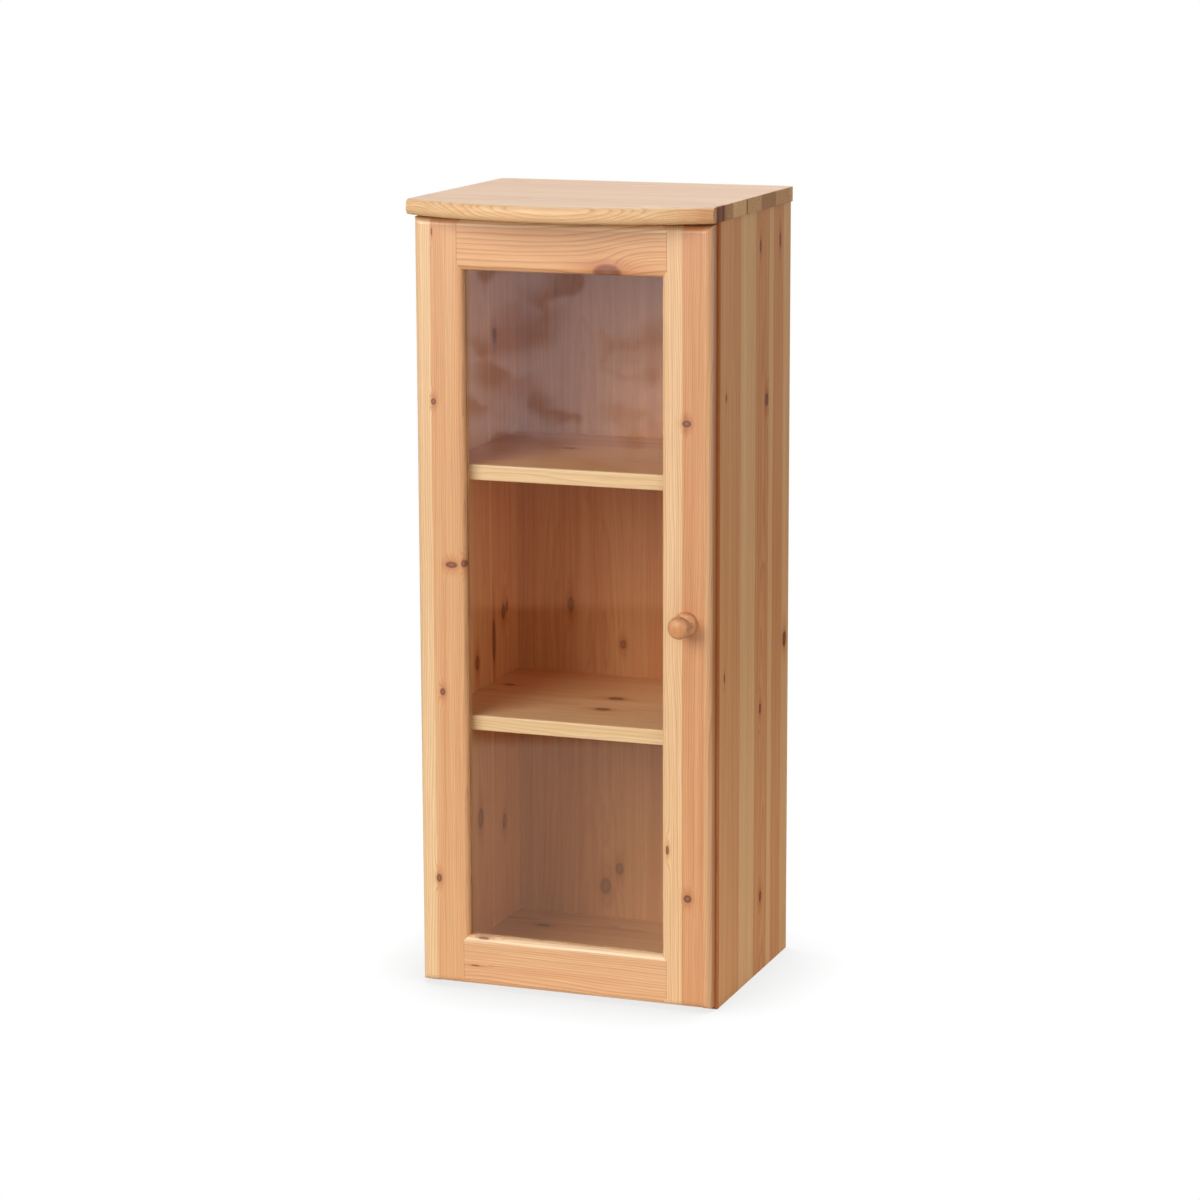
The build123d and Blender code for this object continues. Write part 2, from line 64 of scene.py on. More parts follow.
camera = bpy.data.objects.new("camera", bpy.data.cameras.new("camera"))
camera.data.lens = 110.8
camera.data.sensor_width = 36.0
camera.matrix_world = (
    Matrix.Translation(camera_place)
    @ Matrix.Rotation(camera_yaw, 4, "Z")
    @ Matrix.Rotation(pi / 2 - camera_pitch, 4, "X")
    @ Matrix.Rotation(camera_roll, 4, "Z")
)
scene.collection.objects.link(camera)
scene.camera = camera


# Studio. The cabinet stands on a sweep of white paper in a white room. A large soft box at the
# upper left is the main light; three weaker ones fill from the front, the right and behind.

def linear(code, alpha=1.0):
    """A colour written as an sRGB hex code, turned to the linear values that Blender takes."""
    parts = [int(code[i:i + 2], 16) / 255 for i in (0, 2, 4)]
    return [c / 12.92 if c <= 0.04045 else ((c + 0.055) / 1.055) ** 2.4 for c in parts] + [alpha]


def add(tree, kind, *inputs, out="", named=(), **settings):
    """Adds a node and returns its output. Inputs are given in order and then by name."""
    node = tree.nodes.new("ShaderNode" + kind)
    for name, value in settings.items():
        setattr(node, name, value)
    open_inputs = [s for s in node.inputs if s.enabled]
    given = list(zip(open_inputs, inputs))
    given += [(node.inputs[name], value) for name, value in dict(named).items()]
    for socket, value in given:
        if isinstance(value, bpy.types.NodeSocket):
            tree.links.new(value, socket)
        elif value is not None:
            socket.default_value = value
    return next((s for s in node.outputs if s.enabled and out in ("", s.name)), None)


room_light = 0.22

# The floor in metres from the cabinet: where the paper gives way to the room's floor, how far the
# cabinet's shadow is drawn, and what a mirror meets.
paper_white, room_floor = 0.88, 0.15
paper_end, room_start = 1.1, 1.6
floor_half = 20.0
paper_shadow = 0.06
shadow_reach, shadow_tone = 0.17, 0.79
sky_shut, sky_open = 0.45, 0.97
shadow_start, shadow_end = 0.35, 0.95
mirror_strength = 1.3
mirror_reach = 8.0
mirror_bands = (
    (1.50, "dbc8ae"), (1.60, "000000"), (2.62, "000000"), (2.72, "b07e62"), (4.20, "a07a66"),
    (5.00, "f1eef2"),
)
wall_start, wall_full = 4.0, 4.4

# The far wall's creases: how many cells go to one unit of the mirror's view, how far they sway,
# how deep they are, and between which slopes the folds go from dim to bright.
crumple_cells, crease_cells, fold_cells = 38.0, 44.0, 26.0
crease_sway, crease_depth = 0.03, 65.0
fold_low, fold_high, fold_dim, fold_bright = 0.30, 0.60, 0.48, 1.1

world = bpy.data.worlds.new("white_room")
scene.world = world
world.use_nodes = True
tree = world.node_tree
tree.nodes.clear()
path = add(tree, "LightPath", out="Is Camera Ray").node
seen = path.outputs["Is Camera Ray"]
for kind in ("Is Glossy Ray", "Is Transmission Ray"):
    seen = add(tree, "Math", seen, path.outputs[kind], operation="MAXIMUM")
strength = add(tree, "Mix", seen, room_light, 1.0, data_type="FLOAT")
background = add(tree, "Background", linear("ffffff"), strength)
add(tree, "OutputWorld", background)

mesh = bpy.data.meshes.new("paper_floor")
shape = bmesh.new()
bmesh.ops.create_grid(shape, x_segments=1, y_segments=1, size=floor_half)
shape.to_mesh(mesh)
shape.free()
floor = bpy.data.objects.new("paper_floor", mesh)
scene.collection.objects.link(floor)
floor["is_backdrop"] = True

# Matt white paper to about arm's reach, then the room's darker floor. The camera sees plain white
# beyond the cabinet's own shadow. Mirrors see the paper, a dark strip, a brown floor and beyond it
# the far wall, which a creased backdrop covers.
paper = bpy.data.materials.new("studio_paper")
paper.use_nodes = True
tree = paper.node_tree
tree.nodes.clear()
path = add(tree, "LightPath", out="Is Camera Ray").node
spot = add(tree, "TexCoord", out="Object")
away = add(tree, "VectorMath", spot, operation="LENGTH", out="Value")
beyond = add(tree, "MapRange", away, paper_end, room_start, paper_white, room_floor)
matt = add(tree, "BsdfDiffuse", beyond)
grey = add(tree, "BsdfDiffuse", [paper_shadow] * 3 + [1.0])

# The camera's side: the shadow follows how little open sky the paper has, and fades into white.
open_sky = add(tree, "AmbientOcclusion", None, shadow_reach, out="AO", samples=16)
open_sky = add(tree, "MapRange", open_sky, sky_shut, sky_open, shadow_tone, 1.0)
lit = add(tree, "Emission", linear("ffffff"), open_sky)
shaded = add(tree, "AddShader", grey, lit)
white = add(tree, "Emission", linear("ffffff"), 1.0)
fade = add(tree, "MapRange", away, shadow_start, shadow_end, 0.0, 1.0)
shaded = add(tree, "MixShader", fade, shaded, white)

# The mirror's side. Seen at a slant, a far place lies at its bearing and one over its distance.
# There the backdrop is crumpled into cells that each lean their own way, over softer folds.
bearing = add(tree, "VectorMath", spot, operation="NORMALIZE", out="Vector")
bearing = add(tree, "SeparateXYZ", bearing, out="X")
view = add(tree, "CombineXYZ", bearing, add(tree, "Math", 1.0, away, operation="DIVIDE"), 0.0)
crumple = add(tree, "TexNoise", view, crumple_cells, 3.0, 0.6, out="Color")
sway = (crease_sway, crease_sway, 0.0)
crumple = add(tree, "VectorMath", crumple, sway, operation="MULTIPLY", out="Vector")
crumple = add(tree, "VectorMath", view, crumple, operation="ADD", out="Vector")
facet = add(tree, "TexVoronoi", crumple, crease_cells, voronoi_dimensions="2D").node.outputs
lean = (0.5, 0.5, 0.5)
lean = add(tree, "VectorMath", facet["Color"], lean, operation="SUBTRACT", out="Vector")
tilt = add(tree, "VectorMath", facet["Position"], crumple, operation="SUBTRACT", out="Vector")
tilt = add(tree, "VectorMath", tilt, lean, operation="DOT_PRODUCT", out="Value")
soft = add(tree, "TexNoise", view, fold_cells, 4.0, 0.6, None, 0.8)
folds = add(tree, "Math", tilt, crease_depth, soft, operation="MULTIPLY_ADD")
dim, bright = fold_dim * mirror_strength, fold_bright * mirror_strength
folds = add(tree, "MapRange", folds, fold_low, fold_high, dim, bright)
folds = add(tree, "MapRange", away, wall_start, wall_full, mirror_strength, folds)
room = add(tree, "Math", away, mirror_reach, operation="DIVIDE")
room = add(tree, "ValToRGB", room, out="Color")
table = room.node.color_ramp
table.elements[0].color = linear(mirror_bands[0][1])
table.elements[1].color = linear(mirror_bands[-1][1])
for place, code in mirror_bands:
    table.elements.new(place / mirror_reach).color = linear(code)
mirrored = add(tree, "Emission", room, folds)
surface = add(tree, "MixShader", path.outputs["Is Glossy Ray"], matt, mirrored)
surface = add(tree, "MixShader", path.outputs["Is Camera Ray"], surface, shaded)
add(tree, "OutputMaterial", surface)
mesh.materials.append(paper)

for name, place, aim, size, power in (
    ("soft_box_left", (-1.56, -3.90, 2.5), (0.0, -0.1, 0.5), 2.9, 158.0),
    ("soft_box_front", (2.0, -4.2, 1.5), (0.0, 0.0, 0.5), 2.4, 12.0),
    ("soft_box_right", (2.8, -2.1, 1.2), (0.1, 0.0, 0.5), 2.8, 25.0),
    ("soft_box_behind", (0.5, 2.0, 3.0), (0.0, 0.0, 0.9), 1.6, 40.0),
):
    lamp = bpy.data.lights.new(name, "AREA")
    lamp.size = size
    lamp.energy = power
    box = bpy.data.objects.new(name, lamp)
    box.matrix_world = Matrix.Translation(place) @ (
        (Vector(aim) - Vector(place)).to_track_quat("-Z", "Y").to_matrix().to_4x4()
    )
    box.visible_camera = False
    scene.collection.objects.link(box)


# Side boards. Solid Scots pine glued up from staves with the fibres upright, planed, sanded and
# given a satin clear lacquer that has ambered. Dowels join them to the top, the bottom and the
# hanging rail, and the left one carries the door's hinges.

# Scots pine, lacquered: yellowish sapwood to orange heartwood, with thin darker lines of late
# wood, fibre streaks, brown knots and darker ends.
sapwood, fresh_pine, warm_pine, heartwood = "f1cb99", "e8b882", "e0a671", "d3925e"
resin_wood, late_wood, end_grain = "b9733f", "ac6239", "5e2f16"
knot_heart, knot_wood, knot_rim, knot_stain = "9c6240", "8a5030", "55291a", "b9703f"

# A year's width in millimetres, its unevenness in years, and how many millimetres it waves.
ring_width, year_unevenness, wave_height = 3.1, 1.6, 7.0
# How fast the rings run out of the board, as a slope.
run_out = 0.012
# How far streaks shift a stave's tone, and what the fibres multiply it by.
streak_depth, fibre_dark, fibre_light = 0.16, 0.93, 1.05
# How soon the rings straighten away from a knot, and how much darker the wood beside it is.
knot_grip, stain_depth = 1.2, 0.35
# How dark plain end grain is. The hairline at a coped shoulder: half its width, how dark it is.
plain_end, hairline, hairline_dark = 0.3, 0.35, 0.55
# The lacquer, and how strongly the grain is felt through it, with a height in metres.
lacquer_roughness, lacquer_ior = 0.40, 1.5
lacquer_relief, relief_height = 0.12, 0.0001
to_mm = (1000.0, 1000.0, 1000.0)
# Nearly all of a noise node's values lie between these.
noise_low, noise_high = 0.3, 0.7


def finish(material, *names):
    """Gives CAD nodes a material."""
    for name in names:
        for place in nodes[name].material_slots:
            place.material = material


def pine(node, grain, across, deep, staves, ends=(), knots=(), lines=0.55, rings=ring_width,
         bend=2.4, fan=None, gloss=0.5, matt=lacquer_roughness, dull_edges=False,
         knot_cover=1.0, rim=knot_rim, tint=(1.0, 1.0, 1.0), joint=None):
    """Dresses a CAD node in lacquered pine, whose fibres run along the grain axis.

    The staves lie side by side on the axis across, and deep is the axis through the thickness.
    Lengths are millimetres. A stave is (where it starts, tone from pale 0 to dark 1, how far the
    tree's heart lies to its side and below the board's middle), and ends say how dark each
    stave's end grain is where it differs. A knot is (place along the grain, place across, half
    length along, half width across); the rings bend round it by so many ring widths, and its
    cover and rim are its depth and edge colour. Lines is how dark the late wood is and rings how
    wide a year is. A fan is where rings run together beside a knot: (place along, place across,
    millimetres per radian). Gloss and matt are the lacquer's specular level and roughness, and
    dull edges have less gloss where a saw or a cutter shaped them. The tint multiplies the
    colour. The joint is how far from the middle a coped shoulder shows as a dark hairline.
    """
    material = bpy.data.materials.new("pine_" + node)
    material.use_nodes = True
    tree = material.node_tree
    tree.nodes.clear()

    # Place in the board: x across the staves, y from its middle plane, z along the fibres.
    depths = [v.co["XYZ".index(deep)] for v in nodes[node].data.vertices]
    middle = round(1000.0 * (min(depths) + max(depths)) / 2, 1)
    spot = add(tree, "TexCoord", out="Object")
    split = add(tree, "SeparateXYZ", spot).node.outputs
    local = add(tree, "CombineXYZ", split[across], split[deep], split[grain])
    local = add(tree, "VectorMath", local, to_mm, operation="MULTIPLY", out="Vector")
    local = add(tree, "VectorMath", local, (0.0, middle, 0.0), operation="SUBTRACT", out="Vector")
    board = add(tree, "SeparateXYZ", local).node.outputs

    # Each stave's tone, the place of its heart and the darkness of its end, held in one ramp.
    starts = [s[0] for s in staves]
    last_width = 80.0
    low, high = starts[0], starts[-1] + last_width
    share = add(tree, "MapRange", board[0], low, high, 0.0, 1.0)
    ramp = add(tree, "ValToRGB", share, out="Color")
    table = ramp.node.color_ramp
    table.interpolation = "CONSTANT"
    reach = 1000.0  # millimetres that a ramp's channel spans, half on either side
    for i, (start, tone, side, below) in enumerate(staves):
        stop = table.elements[0] if i == 0 else table.elements.new((start - low) / (high - low))
        stop.position = (start - low) / (high - low)
        until = starts[i + 1] if i + 1 < len(starts) else start + last_width / 2
        end = ends[i] if ends else plain_end
        stop.color = (tone, ((start + until) / 2 + side) / reach + 0.5, -below / reach + 0.5, end)
    while len(table.elements) > len(staves):
        table.elements.remove(table.elements[-1])
    stave = add(tree, "SeparateColor", ramp).node.outputs
    end_dark = ramp.node.outputs["Alpha"]

    # Slow waves along the stem, fibre streaks, and broader streaks of colour. Each stave is cut
    # from another tree, so its place in the noise is shifted by its own heart.
    shift = (9000.0, 7000.0, 8000.0)
    shift = add(tree, "VectorMath", ramp, shift, operation="MULTIPLY", out="Vector")
    strewn = add(tree, "VectorMath", local, shift, operation="ADD", out="Vector")
    cloud = {}
    for what, wide, long, detail, rough in (
        ("waves", 1 / 40, 1 / 210, 2.0, 0.45), ("streaks", 1 / 7, 1 / 420, 3.0, 0.5),
        ("fibres", 0.9, 1 / 45, 2.0, 0.6),
    ):
        cells = (wide, wide, long)
        cells = add(tree, "VectorMath", strewn, cells, operation="MULTIPLY", out="Vector")
        cloud[what] = add(tree, "TexNoise", cells, 1.0, detail, rough)
    wander = add(tree, "MapRange", cloud["waves"], 0.0, 1.0, -wave_height, wave_height)
    fibres = cloud["fibres"]

    # Distance to the nearest knot, once as the knot's own oval and once drawn out along the grain.
    near = far = 9.0  # in knot sizes, beyond any knot's reach
    for along, beside, half_long, half_wide in knots:
        place = (beside, 0.0, along)
        offset = add(tree, "VectorMath", local, place, operation="SUBTRACT", out="Vector")
        for stretch in (1.0, 4.0):
            shrink = (1 / (half_wide * stretch**0.35), 0.0, 1 / (half_long * stretch))
            oval = add(tree, "VectorMath", offset, shrink, operation="MULTIPLY", out="Vector")
            oval = add(tree, "VectorMath", oval, operation="LENGTH", out="Value")
            if stretch == 1.0:
                near = add(tree, "Math", oval, near, operation="MINIMUM")
            else:
                far = add(tree, "Math", oval, far, operation="MINIMUM")

    # Growth rings: how far a point lies from its tree's heart. They run out of the board slowly
    # and bend round the knots.
    from_side = add(tree, "MapRange", stave["Green"], 0.0, 1.0, -reach / 2, reach / 2)
    from_below = add(tree, "MapRange", stave["Blue"], 0.0, 1.0, -reach / 2, reach / 2)
    heart = add(tree, "CombineXYZ", from_side, from_below, 0.0)
    flat = add(tree, "VectorMath", local, (1.0, 1.0, 0.0), operation="MULTIPLY", out="Vector")
    radius = add(tree, "VectorMath", flat, heart, operation="DISTANCE", out="Value")
    radius = add(tree, "Math", board[2], run_out, radius, operation="MULTIPLY_ADD")
    radius = add(tree, "Math", radius, wander, operation="ADD")
    if knots:
        swell = add(tree, "Math", far, far, operation="MULTIPLY")
        swell = add(tree, "Math", swell, -knot_grip, operation="MULTIPLY")
        swell = add(tree, "Math", swell, operation="EXPONENT")
        radius = add(tree, "Math", swell, bend * rings, radius, operation="MULTIPLY_ADD")
    if fan:
        along, beside, spread = fan
        ray = (beside, 0.0, along)
        ray = add(tree, "VectorMath", local, ray, operation="SUBTRACT", out="Vector")
        ray = add(tree, "SeparateXYZ", ray).node.outputs
        ray = add(tree, "Math", ray[0], ray[2], operation="ARCTAN2")
        radius = add(tree, "Math", ray, spread, radius, operation="MULTIPLY_ADD")
    year = add(tree, "Math", radius, rings, operation="DIVIDE")
    uneven = add(tree, "TexNoise", year, 0.35, 1.0, 0.5, noise_dimensions="1D")
    year = add(tree, "Math", uneven, year_unevenness, year, operation="MULTIPLY_ADD")

    # One year: the wood darkens slowly to its late line and ends there at once.
    phase = add(tree, "Math", year, operation="FRACT")
    line = add(tree, "ValToRGB", phase, out="Color")
    table = line.node.color_ramp
    table.elements[0].color = table.elements[1].color = (0.0, 0.0, 0.0, 1.0)
    for place, dark in ((0.35, 0.05), (0.70, 0.45), (0.88, 1.0)):
        table.elements.new(place).color = (dark, dark, dark, 1.0)

    # Colour: the stave's tone with its streaks, then the lines, the knots and the darker ends.
    tone = add(tree, "MapRange", cloud["streaks"], 0.25, 0.75, -streak_depth, streak_depth)
    tone = add(tree, "Math", tone, stave["Red"], operation="ADD")
    if knots:
        stain = add(tree, "MapRange", far, 0.1, 1.3, stain_depth, 0.0)
        tone = add(tree, "Math", tone, stain, operation="ADD")
    colour = add(tree, "ValToRGB", tone, out="Color")
    table = colour.node.color_ramp
    table.elements[0].color = linear(sapwood)
    table.elements[1].color = linear(resin_wood)
    for place, code in ((0.30, fresh_pine), (0.55, warm_pine), (0.80, heartwood)):
        table.elements.new(place).color = linear(code)
    faint = add(tree, "Math", line, lines, operation="MULTIPLY")
    colour = add(tree, "Mix", faint, colour, linear(late_wood), data_type="RGBA")
    thread = add(tree, "MapRange", fibres, noise_low, noise_high, fibre_dark, fibre_light)
    colour = add(tree, "VectorMath", colour, thread, operation="SCALE", out="Vector")
    if knots:
        knot_span = 4.0  # knot sizes from its heart to the end of its ramp
        knot = add(tree, "Math", near, knot_span, operation="DIVIDE")
        knot = add(tree, "ValToRGB", knot, out="Color")
        table = knot.node.color_ramp
        table.elements[0].color = linear(knot_heart)
        table.elements[1].color = linear(knot_stain, 0.0)
        for place, code, cover in (
            (0.13, knot_wood, 1.0), (0.21, rim, 0.95), (0.27, rim, 0.75),
            (0.33, knot_stain, 0.35), (0.60, knot_stain, 0.06),
        ):
            table.elements.new(place).color = linear(code, cover)
        cover = add(tree, "Math", knot.node.outputs["Alpha"], knot_cover, operation="MULTIPLY")
        colour = add(tree, "Mix", cover, colour, knot, data_type="RGBA")
    facing = add(tree, "TexCoord", out="Normal")
    facing = add(tree, "VectorMath", facing, operation="ABSOLUTE", out="Vector")
    facing = add(tree, "SeparateXYZ", facing).node.outputs
    on_end = add(tree, "MapRange", facing[grain], 0.55, 0.9, 0.0, 1.0)
    end_mix = add(tree, "Math", on_end, end_dark, operation="MULTIPLY")
    colour = add(tree, "Mix", end_mix, colour, linear(end_grain), data_type="RGBA")
    if joint:
        seam = add(tree, "Math", board[2], operation="ABSOLUTE")
        seam = add(tree, "Math", seam, joint, hairline, operation="COMPARE")
        seam = add(tree, "Math", seam, hairline_dark, operation="MULTIPLY")
        colour = add(tree, "Mix", seam, colour, linear(knot_rim), data_type="RGBA")
    colour = add(tree, "VectorMath", colour, tint, operation="MULTIPLY", out="Vector")

    # Satin lacquer over open grain: the fibres and the harder lines are just felt.
    sheen = add(tree, "MapRange", fibres, noise_low, noise_high, matt - 0.04, matt + 0.05)
    if dull_edges:
        on_edge = add(tree, "MapRange", facing[deep], 0.90, 0.99, 1.0, 0.0)
        gloss = add(tree, "MapRange", on_edge, 0.0, 1.0, gloss, 0.6)
        gloss = add(tree, "MapRange", on_end, 0.0, 1.0, gloss, 0.05)
        sheen = add(tree, "Math", on_edge, 0.14, sheen, operation="MULTIPLY_ADD")
    relief = add(tree, "Math", line, 0.6, fibres, operation="MULTIPLY_ADD")
    felt = add(tree, "Bump", named={
        "Strength": lacquer_relief, "Distance": relief_height, "Height": relief,
    })
    surface = add(tree, "BsdfPrincipled", named={
        "Base Color": colour, "Roughness": sheen, "IOR": lacquer_ior, "Normal": felt,
        "Specular IOR Level": gloss,
    })
    add(tree, "OutputMaterial", surface)
    finish(material, node)


pine(
    "right_side", "Z", "Y", "X",
    staves=[
        # The front stave is the darkest: a reddish streak in the wood, and painted shade where the
        # door shades the side's front edge.
        (-150.0, 1.00, 70.0, 20.0), (-141.0, 0.50, 60.0, 15.0),
        (-94.0, 0.56, -50.0, 30.0), (-61.0, 0.16, 75.0, 10.0),
        (-1.0, 0.66, 5.0, 38.0), (54.0, 0.22, 60.0, 10.0),
        (72.0, 0.66, -30.0, 25.0), (113.0, 0.24, 70.0, 12.0),
    ],
    knots=[
        (955.0, 18.0, 7.0, 3.0), (955.0, 100.0, 8.0, 3.0), (756.0, 46.0, 7.0, 5.5),
        (780.0, -118.0, 4.0, 2.0), (427.0, 128.0, 9.0, 6.0), (355.0, 25.0, 6.0, 3.5),
        (426.0, -122.0, 5.0, 2.0), (102.0, 30.0, 6.0, 4.5),
    ],
    lines=0.4, gloss=0.1, matt=0.5, tint=(1.0, 0.93, 0.86),
)
pine(
    "left_side", "Z", "Y", "X",
    staves=[
        (-150.0, 0.35, 60.0, 20.0), (-90.0, 0.25, -60.0, 15.0),
        (-18.0, 0.40, 5.0, -35.0), (37.0, 0.05, 60.0, 10.0),
        (43.0, 0.40, 10.0, -30.0), (116.0, 0.28, -70.0, 12.0),
    ],
    knots=[
        (446.0, 84.0, 9.0, 6.0), (452.0, 96.0, 6.0, 4.0), (414.0, 49.0, 26.0, 5.0),
        (395.0, -10.0, 9.0, 6.0), (182.0, -3.0, 12.0, 8.0), (157.0, 81.0, 9.0, 6.0),
        (820.0, 60.0, 9.0, 6.0),
    ],
    # The tint lightens the whole board: painted light for the light its inner face catches inside
    # the cabinet.
    lines=0.25, gloss=0.1, matt=0.5, knot_cover=0.7, tint=(1.14, 1.05, 1.02),
)


# Bottom board, hanging rail and shelves. The same glued pine with the fibres from side to side.
# The bottom and the rail are dowelled between the sides; the shelves lie loose on their supports.

pine(
    "bottom_board", "X", "Y", "Z",
    staves=[
        (-150.0, 0.55, 50.0, 20.0), (-88.0, 0.65, 0.0, 40.0),
        (-20.0, 0.50, -60.0, 20.0), (48.0, 0.62, 20.0, 40.0),
        (100.0, 0.52, 60.0, 15.0),
    ],
    knots=[(60.0, -40.0, 9.0, 6.0), (-120.0, 70.0, 7.0, 5.0)],
)
pine("hanging_rail", "X", "Z", "Y", staves=[(945.0, 0.40, 30.0, 40.0)])
pine(
    "shelf_upper", "X", "Y", "Z",
    staves=[
        (-150.0, 0.00, 50.0, 25.0), (-138.0, 0.45, 50.0, 25.0),
        (-84.0, 0.55, 0.0, 45.0), (-25.0, 0.45, -60.0, 20.0),
        (40.0, 0.60, 15.0, 40.0), (96.0, 0.48, 60.0, 15.0),
    ],
    knots=[(-60.0, 20.0, 8.0, 5.0)],
    # The tint lightens and pales the shelf: painted light for the light that falls on it through
    # the pane.
    lines=0.25, knot_cover=0.8, tint=(1.12, 1.08, 1.11),
)
pine(
    "shelf_lower", "X", "Y", "Z",
    staves=[
        (-150.0, 0.00, 30.0, 30.0), (-138.0, 0.08, 30.0, 30.0),
        (-80.0, 0.14, 0.0, 38.0), (-10.0, 0.28, -20.0, 45.0),
        (52.0, 0.32, 60.0, 15.0), (98.0, 0.50, 40.0, 25.0),
    ],
    knots=[(9.0, 5.0, 9.0, 7.0), (14.0, -59.0, 9.0, 6.0), (-153.0, 37.0, 6.0, 4.0)],
    # The tint lightens and pales the shelf: painted light for the light that falls on it through
    # the pane.
    lines=0.25, knot_cover=0.8, tint=(1.12, 1.08, 1.11),
)


# Back panel. A thin board of glued pine with the fibres upright, sanded and lacquered. It lies in
# the sides' rebates, held all round by nails.

pine(
    "back_panel", "Z", "X", "Y",
    staves=[
        (-192.0, 0.55, 40.0, 40.0), (-122.0, 0.60, 10.0, 45.0),
        (-60.0, 0.52, -30.0, 40.0), (4.0, 0.62, 60.0, 15.0),
        (60.0, 0.50, 20.0, 40.0), (124.0, 0.56, -60.0, 20.0),
    ],
    knots=[
        (451.0, -104.0, 9.0, 4.0), (401.0, -29.0, 5.0, 4.0), (63.0, -55.0, 10.0, 7.0),
        (89.0, -35.0, 7.0, 5.0), (800.0, 70.0, 8.0, 6.0),
    ],
    # The tint darkens and reddens the whole panel: painted shade for the dim, warm light inside
    # the cabinet.
    lines=0.22, knot_cover=0.6, tint=(0.95, 0.81, 0.71),
)


# Top board. Pine staves from side to side, lacquered. Its front is sawn to a bow and rounded
# over, its ends are planed flat, and it is dowelled down on the sides.

pine(
    "top_board", "X", "Y", "Z",
    staves=[
        (-240.0, 0.20, 20.0, 30.0), (-167.0, 0.40, 10.0, 35.0),
        (-100.0, 0.24, 60.0, 15.0), (-48.0, 0.60, 60.0, 15.0),
        (-43.0, 0.32, 0.0, 30.0), (15.0, 0.44, 40.0, 20.0),
        (73.0, 0.40, 0.0, 45.0), (134.0, 0.22, 60.0, 15.0),
    ],
    ends=(0.10, 0.34, 0.0, 0.70, 0.14, 0.46, 0.18, 0.0),
    knots=[(202.0, -148.0, 2.5, 13.0), (228.0, -185.0, 20.0, 14.0)],
    lines=0.45, gloss=1.0, matt=0.34, dull_edges=True, rim="5a2c20",
)


# Door frame. Two stiles and two rails of edge-glued pine, dowelled at the corners. The outer
# front edges have a wide rounding, the inner ones a smaller one; a rebate behind holds the pane.

# Where the rails' coped shoulders meet the stiles, in millimetres from the door's middle.
shoulder = 138.8
pine(
    "left_stile", "Z", "X", "Y",
    staves=[(-200.0, 0.04, 48.0, 26.0), (-175.0, 0.50, 60.0, 24.0)],
    knots=[
        (765.0, -172.0, 3.5, 3.0), (557.0, -150.0, 3.5, 7.0), (559.0, -134.0, 4.0, 2.5),
        (391.0, -164.0, 4.0, 3.2), (144.0, -172.0, 4.5, 3.2), (979.0, -172.0, 4.0, 0.9),
        (176.0, -197.0, 3.0, 1.2),
    ],
    lines=0.4, gloss=0.8, rim="70351f", tint=(0.98, 0.97, 0.96),
)
pine(
    "right_stile", "Z", "X", "Y",
    staves=[
        (130.0, 0.14, -60.0, 20.0), (159.0, 0.70, 70.0, 12.0),
        # The last stave, on the door's right edge and the end of its rounding, is dark red:
        # painted shade in the gap beside the side board.
        (188.0, 0.45, 60.0, 10.0), (196.3, 1.00, 60.0, 10.0),
    ],
    knots=[(753.0, 165.0, 3.5, 5.0), (148.0, 167.0, 4.2, 4.5), (209.0, 140.0, 5.0, 1.8)],
    lines=0.45, gloss=0.8, tint=(0.98, 0.97, 0.97),
)
pine(
    "top_rail", "X", "Z", "Y",
    # The upper stave, on the rail's top rounding, is pale: paler wood, and painted light where the
    # rounding catches light below the nose's shade.
    staves=[(925.0, 0.46, -90.0, 18.0), (986.0, 0.0, -90.0, 18.0)],
    knots=[(61.0, 935.0, 16.0, 9.5)],
    lines=0.6, rings=6.0, bend=1.6, fan=(80.0, 930.0, 11.0), gloss=0.8, rim="83442c",
    joint=shoulder,
)
pine(
    "bottom_rail", "X", "Z", "Y",
    # The upper stave, on the rail's inner rounding, is pale: sapwood, and a painted highlight
    # along the rounding.
    staves=[(0.0, 0.42, -60.0, 30.0), (62.0, 0.0, -60.0, 30.0)],
    knots=[(-123.0, 31.0, 5.0, 0.9), (-111.5, 68.0, 6.5, 1.3)],
    lines=0.5, rings=3.4, gloss=0.8, knot_cover=0.9, tint=(0.99, 1.0, 1.07), joint=shoulder,
)


# Glazing beads. Slim strips of the same pine, planed, rounded on the inner edge and mitred at the
# corners. Headless brads pin them into the frame's rebate behind the pane.

for node, grain, across, start in (
    ("bead_left", "Z", "X", -150.0), ("bead_right", "Z", "X", 120.0),
    ("bead_top", "X", "Z", 925.0), ("bead_bottom", "X", "Z", 50.0),
):
    pine(node, grain, across, "Y", staves=[(start, 0.35, 40.0, 20.0)])


# Pane. Clear float glass, four millimetres thick, cut a little smaller than its rebate. It lies
# loose between the frame's lips and the beads.

# Float glass: nearly colourless, a polished face that mirrors the room faintly.
glass_ior = 1.52
glass = bpy.data.materials.new("float_glass")
glass.use_nodes = True
tree = glass.node_tree
tree.nodes.clear()
mirror = add(tree, "BsdfGlossy", linear("ffffff"), 0.02)
clear = add(tree, "BsdfTransparent", linear("fdfffe"))
# A ray meets both faces from the air, because this pane doesn't bend it.
side_met = add(tree, "NewGeometry", out="Backfacing")
ior_met = add(tree, "Mix", side_met, glass_ior, 1 / glass_ior, data_type="FLOAT")
surface = add(tree, "MixShader", add(tree, "Fresnel", ior_met), clear, mirror)
add(tree, "OutputMaterial", surface)
finish(glass, "glass_pane")


# Knob. Turned in one piece from pine with the fibres upright, sanded and lacquered. A screw from
# the stile's back holds it.

pine(
    "knob", "Z", "X", "Y",
    staves=[(140.0, 0.72, 30.0, 19.0)],
    lines=0.5, rings=1.8,
)


# Dowels. Beech rod eight millimetres thick, cut to length and glued into blind holes. The fibres
# run along each rod.

